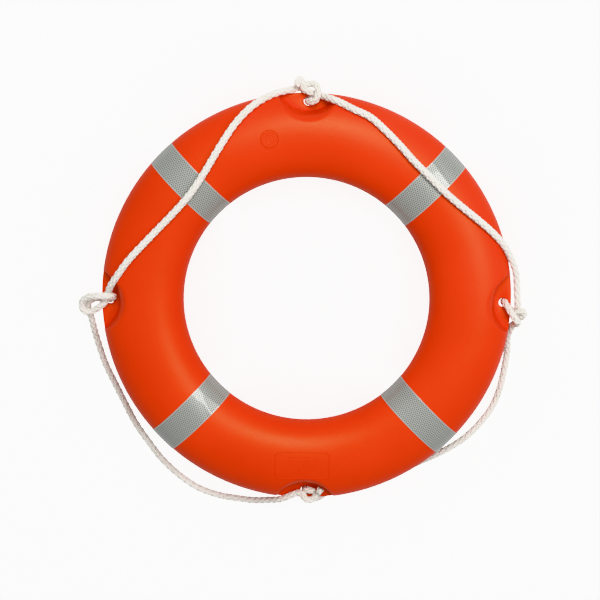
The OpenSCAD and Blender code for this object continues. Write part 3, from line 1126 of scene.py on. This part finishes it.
def add_tips(runs, pieces, line, rope, melted):
    """Seals both ends of one rope."""
    radius = rope.diameter / 2
    ends = [(runs[0][0], line[0], line[0] - line[1]), (runs[-1][0], line[-1], line[-1] - line[-2])]
    for name, at, heading in ends:
        tip = sealed_tip(name + "_tip", at, heading, radius, melted)
        pieces[name] = join([pieces[name], tip], name)


# ---------------------------------------------------------------- stage


class LIFEBUOY_OT_camera(bpy.types.Operator):
    """Place the camera above the ring"""

    bl_idname = "lifebuoy.camera"
    bl_label = "Camera"

    def execute(self, context):
        stage = context.scene.lifebuoy_stage
        data = bpy.data.cameras.new("camera")
        data.sensor_width = 36
        data.lens = stage.lens
        data.shift_x, data.shift_y = stage.shift
        camera = bpy.data.objects.new("camera", data)
        context.scene.collection.objects.link(camera)
        tilt = math.radians(stage.tilt)
        back = Vector((0, math.sin(tilt), math.cos(tilt)))
        up = Vector((0, math.cos(tilt), -math.sin(tilt)))
        axes = Matrix((Vector((1, 0, 0)), up, back)).transposed()
        turn = Matrix.Rotation(math.radians(stage.roll), 3, "Z")
        place = Vector((0, 0, MID_Z)) + back * stage.distance
        camera.matrix_world = Matrix.Translation(place) @ (axes @ turn).to_4x4()
        context.scene.camera = camera
        return {"FINISHED"}


def soft_light(name, place, target, side, power):
    """A square, white soft light that faces its target."""
    data = bpy.data.lights.new(name, "AREA")
    data.shape = "SQUARE"
    data.size = side
    data.energy = power
    light = bpy.data.objects.new(name, data)
    bpy.context.scene.collection.objects.link(light)
    light.location = place
    light.rotation_euler = (Vector(target) - Vector(place)).to_track_quat("-Z", "Y").to_euler()


class LIFEBUOY_OT_stage(bpy.types.Operator):
    """Build the pale floor and the soft studio light"""

    bl_idname = "lifebuoy.stage"
    bl_label = "Stage"

    def execute(self, context):
        stage = context.scene.lifebuoy_stage
        half = 15    # half the floor's side, in metres
        corners = [(-half, -half, 0), (half, -half, 0), (half, half, 0), (-half, half, 0)]
        board = studio_floor("opal_acrylic_board", stage.glow)
        object_from("floor", corners, [(0, 1, 2, 3)], [board])
        target = (0, 0, MID_Z)
        soft_light("key", (0.26, 1.52, 2.6), target, stage.light_size, stage.key_power)
        soft_light("side", (1.63, 0.44, 2.6), target, stage.light_size, stage.side_power)
        world = bpy.data.worlds.new("studio")
        world.use_nodes = True
        tree = world.node_tree
        tree.nodes.clear()
        seen = add_node(tree, "ShaderNodeLightPath").outputs["Is Camera Ray"]
        strength = add_node(
            tree, "ShaderNodeMapRange", {"Value": seen, "To Min": stage.sky, "To Max": 1.0}
        ).outputs["Result"]
        sky = add_node(tree, "ShaderNodeBackground", {"Color": linear(WHITE), "Strength": strength})
        add_node(tree, "ShaderNodeOutputWorld", {"Surface": sky.outputs["Background"]})
        context.scene.world = world
        context.scene.view_settings.view_transform = "Khronos PBR Neutral"
        return {"FINISHED"}


# ---------------------------------------------------------------- panel and run


class LIFEBUOY_PT_panel(bpy.types.Panel):
    """Lists the lifebuoy's builders."""

    bl_label = "Ring Lifebuoy"
    bl_idname = "LIFEBUOY_PT_panel"
    bl_space_type = "VIEW_3D"
    bl_region_type = "UI"
    bl_category = "Lifebuoy"

    def draw(self, context):
        for operator in BUILDERS:
            self.layout.operator(operator.bl_idname)


BUILDERS = (
    LIFEBUOY_OT_camera,
    LIFEBUOY_OT_grab_line,
    LIFEBUOY_OT_ring,
    LIFEBUOY_OT_filler_plug,
    LIFEBUOY_OT_foam,
    LIFEBUOY_OT_tapes,
    LIFEBUOY_OT_stage,
)
SETTINGS = {
    "lifebuoy_ring": LIFEBUOY_PG_ring,
    "lifebuoy_plug": LIFEBUOY_PG_plug,
    "lifebuoy_tape": LIFEBUOY_PG_tape,
    "lifebuoy_rope": LIFEBUOY_PG_rope,
    "lifebuoy_stage": LIFEBUOY_PG_stage,
}


def register():
    for name, group in SETTINGS.items():
        bpy.utils.register_class(group)
        setattr(bpy.types.Scene, name, PointerProperty(type=group))
    for operator in BUILDERS:
        bpy.utils.register_class(operator)
    bpy.utils.register_class(LIFEBUOY_PT_panel)


def unregister():
    bpy.utils.unregister_class(LIFEBUOY_PT_panel)
    for operator in reversed(BUILDERS):
        bpy.utils.unregister_class(operator)
    for name, group in reversed(SETTINGS.items()):
        delattr(bpy.types.Scene, name)
        bpy.utils.unregister_class(group)


def main():
    """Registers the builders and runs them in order."""
    register()
    for operator in BUILDERS:
        group, name = operator.bl_idname.split(".")
        getattr(getattr(bpy.ops, group), name)()


if __name__ == "__main__":
    main()
